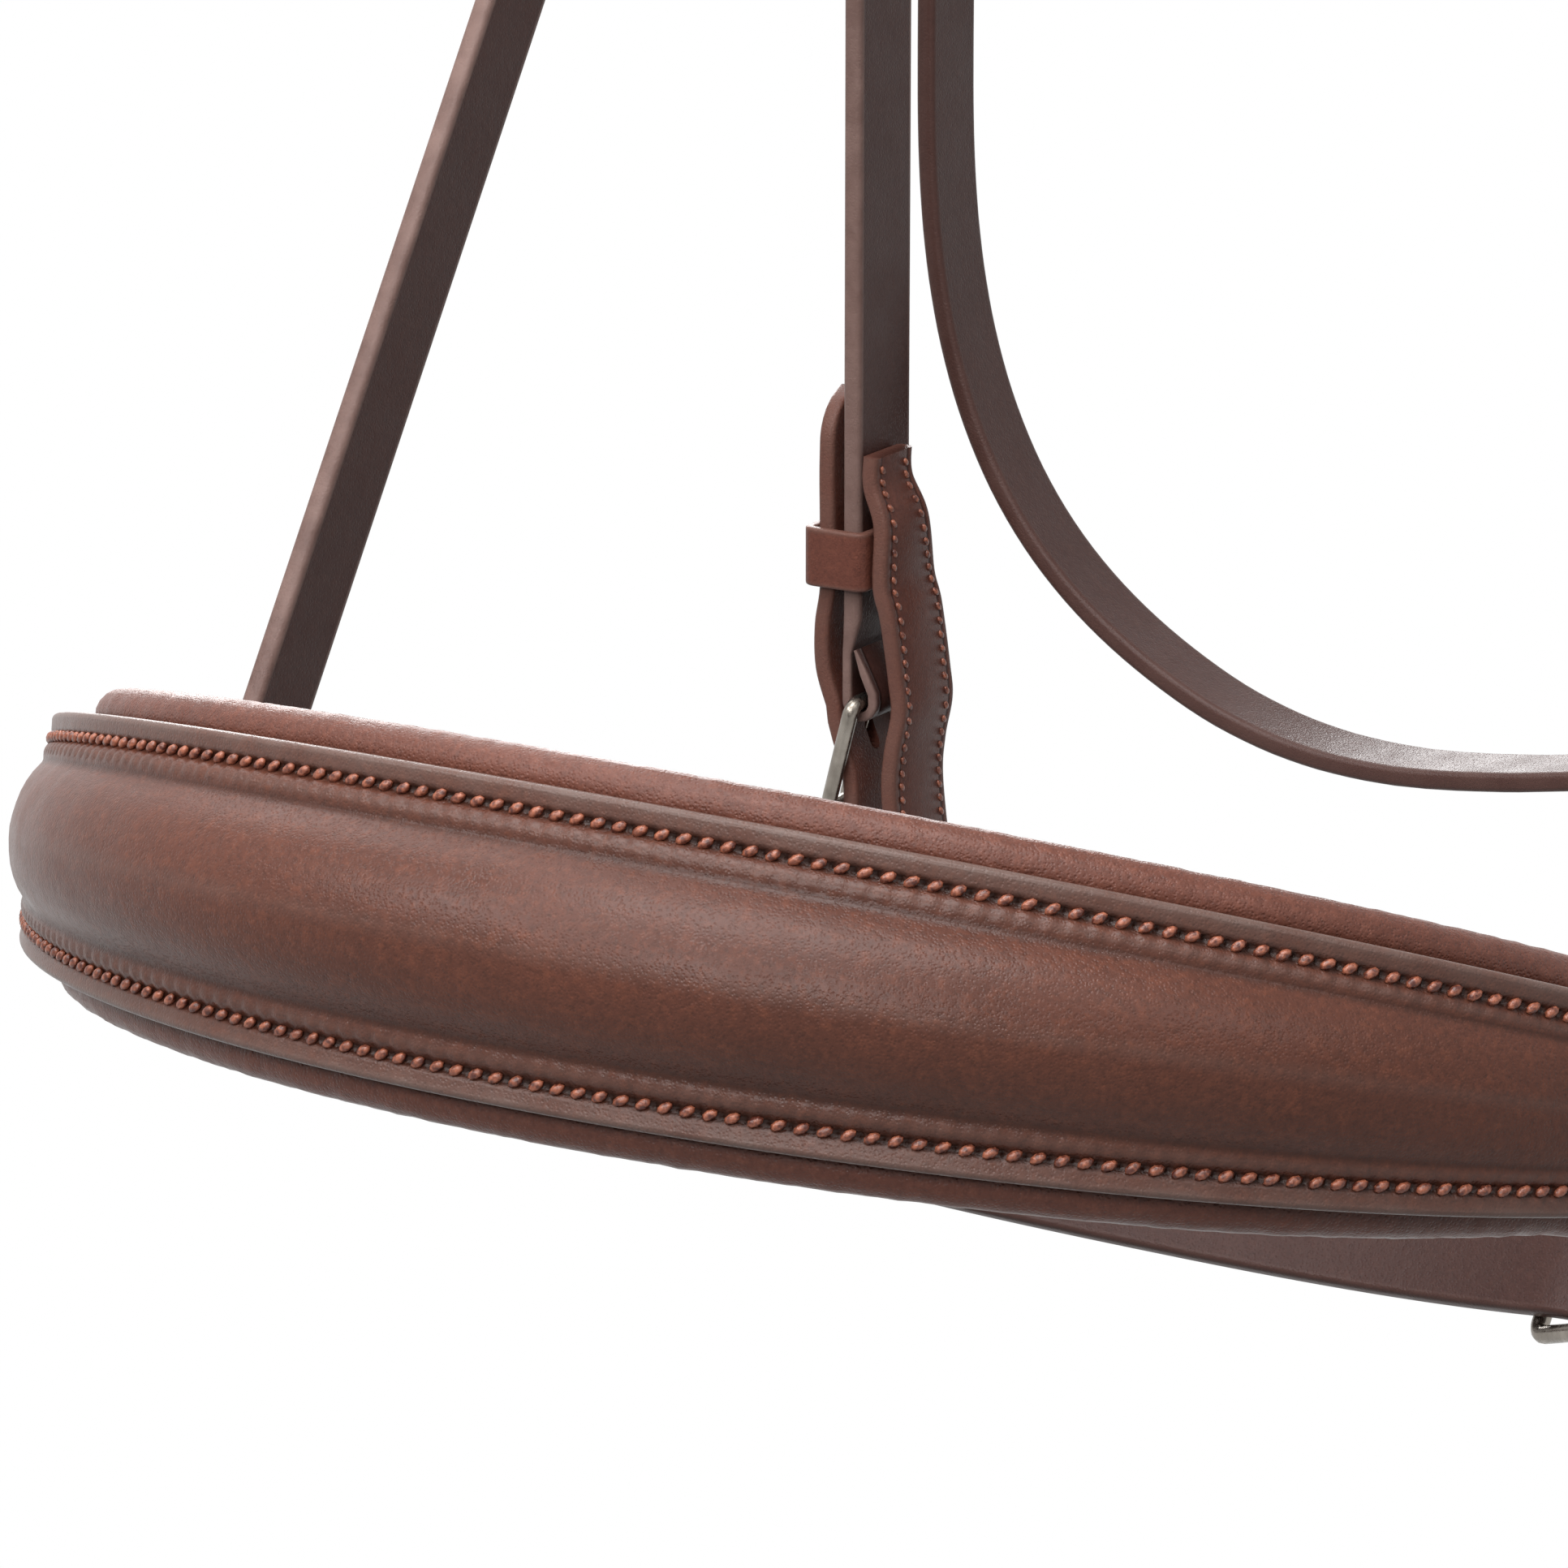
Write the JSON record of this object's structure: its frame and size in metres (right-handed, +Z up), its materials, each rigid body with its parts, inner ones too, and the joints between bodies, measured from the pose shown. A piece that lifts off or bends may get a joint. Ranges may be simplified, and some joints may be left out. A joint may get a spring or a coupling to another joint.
{
  "type": "english bridle",
  "caption": "English bridle with padded crown, browband, buckled cheekpieces, throatlash and a raised stitched cavesson noseband.",
  "frame": {"origin": "underside of the padded crown at the poll, where the bridle hangs", "axes": "+Z up, -Y out of the front of the bridle, +X to the left side of the horse"},
  "size_m": [0.237, 0.2955, 0.5212],
  "materials": {
    "crown_leather": "oiled",
    "crown_pad": "soft",
    "browband": "oiled",
    "browband_loop_left": "oiled",
    "browband_loop_right": "oiled",
    "cheek_point_left": "oiled",
    "cheek_strap_left": "oiled",
    "cheek_left_buckle": "brushed",
    "cheek_left_tongue": "brushed",
    "cheek_keeper_left": "oiled",
    "bit_billet_left": "soft",
    "bit_left_buckle": "brushed",
    "bit_left_tongue": "brushed",
    "bit_keeper_left": "oiled",
    "cheek_point_right": "oiled",
    "cheek_strap_right": "oiled",
    "cheek_right_buckle": "brushed",
    "cheek_right_tongue": "brushed",
    "cheek_keeper_right": "oiled",
    "bit_billet_right": "soft",
    "bit_right_buckle": "brushed",
    "bit_right_tongue": "brushed",
    "bit_keeper_right": "oiled",
    "cheek_runner_left": "oiled",
    "cheek_runner_right": "oiled",
    "hanger_point_left": "oiled",
    "hanger_left": "oiled",
    "hanger_left_buckle": "brushed",
    "hanger_left_tongue": "brushed",
    "hanger_keeper_left": "oiled",
    "hanger_point_right": "oiled",
    "hanger_right": "oiled",
    "hanger_right_buckle": "brushed",
    "hanger_right_tongue": "brushed",
    "hanger_keeper_right": "oiled",
    "noseband_front": "oiled",
    "noseband_lining": "soft",
    "noseband_core": "soft",
    "chin_billet": "oiled",
    "chin_strap": "oiled",
    "chin_buckle": "brushed",
    "chin_tongue": "brushed",
    "chin_keeper": "oiled",
    "throatlash": "oiled",
    "throat_point_left": "oiled",
    "throat_left_buckle": "brushed",
    "throat_left_tongue": "brushed",
    "throat_keeper_left": "oiled"
  },
  "bodies": {
    "headpiece": {"crown_leather": "crown_leather", "crown_pad": "crown_pad"},
    "browband": {"browband": "browband", "browband_loop_left": "browband_loop_left", "browband_loop_right": "browband_loop_right"},
    "cheekpiece_left": {"cheek_point_left": "cheek_point_left", "cheek_strap_left": "cheek_strap_left", "cheek_left_buckle": "cheek_left_buckle", "cheek_left_tongue": "cheek_left_tongue", "cheek_keeper_left": "cheek_keeper_left", "bit_billet_left": "bit_billet_left", "bit_left_buckle": "bit_left_buckle", "bit_left_tongue": "bit_left_tongue", "bit_keeper_left": "bit_keeper_left"},
    "cheekpiece_right": {"cheek_point_right": "cheek_point_right", "cheek_strap_right": "cheek_strap_right", "cheek_right_buckle": "cheek_right_buckle", "cheek_right_tongue": "cheek_right_tongue", "cheek_keeper_right": "cheek_keeper_right", "bit_billet_right": "bit_billet_right", "bit_right_buckle": "bit_right_buckle", "bit_right_tongue": "bit_right_tongue", "bit_keeper_right": "bit_keeper_right"},
    "runner_left": {"cheek_runner_left": "cheek_runner_left"},
    "runner_right": {"cheek_runner_right": "cheek_runner_right"},
    "noseband": {"hanger_point_left": "hanger_point_left", "hanger_left": "hanger_left", "hanger_left_buckle": "hanger_left_buckle", "hanger_left_tongue": "hanger_left_tongue", "hanger_keeper_left": "hanger_keeper_left", "hanger_point_right": "hanger_point_right", "hanger_right": "hanger_right", "hanger_right_buckle": "hanger_right_buckle", "hanger_right_tongue": "hanger_right_tongue", "hanger_keeper_right": "hanger_keeper_right", "noseband_front": "noseband_front", "noseband_lining": "noseband_lining", "noseband_core": "noseband_core", "chin_billet": "chin_billet", "chin_strap": "chin_strap", "chin_buckle": "chin_buckle", "chin_tongue": "chin_tongue", "chin_keeper": "chin_keeper"},
    "throatlash": {"throatlash": "throatlash", "throat_point_left": "throat_point_left", "throat_left_buckle": "throat_left_buckle", "throat_left_tongue": "throat_left_tongue", "throat_keeper_left": "throat_keeper_left"}
  },
  "joints": [
    {"name": "browband_slide", "type": "slide", "parent": "headpiece", "child": "browband", "axis": [0, 0, 1], "range_m": [-0.008, 0.008]},
    {"name": "cheekpiece_left_swing", "type": "hinge", "parent": "headpiece", "child": "cheekpiece_left", "pos_m": [0.0995, -0.006, -0.095], "axis": [1, 0, 0], "range_deg": [-12, 0.8]},
    {"name": "cheekpiece_right_swing", "type": "hinge", "parent": "headpiece", "child": "cheekpiece_right", "pos_m": [-0.0995, -0.006, -0.095], "axis": [1, 0, 0], "range_deg": [-12, 0.8]},
    {"name": "noseband_swing", "type": "hinge", "parent": "headpiece", "child": "noseband", "pos_m": [0, -0.008, -0.095], "axis": [1, 0, 0], "range_deg": [-20, 5]},
    {"name": "throatlash_swing", "type": "hinge", "parent": "headpiece", "child": "throatlash", "pos_m": [0, 0.0134, -0.095], "axis": [1, 0, 0], "range_deg": [0, 20]},
    {"name": "runner_left_slide", "type": "slide", "parent": "cheekpiece_left", "child": "runner_left", "axis": [0, 0, 1], "range_m": [-0.007, 0.0035]},
    {"name": "runner_right_slide", "type": "slide", "parent": "cheekpiece_right", "child": "runner_right", "axis": [0, 0, 1], "range_m": [-0.007, 0.0035]}
  ]
}
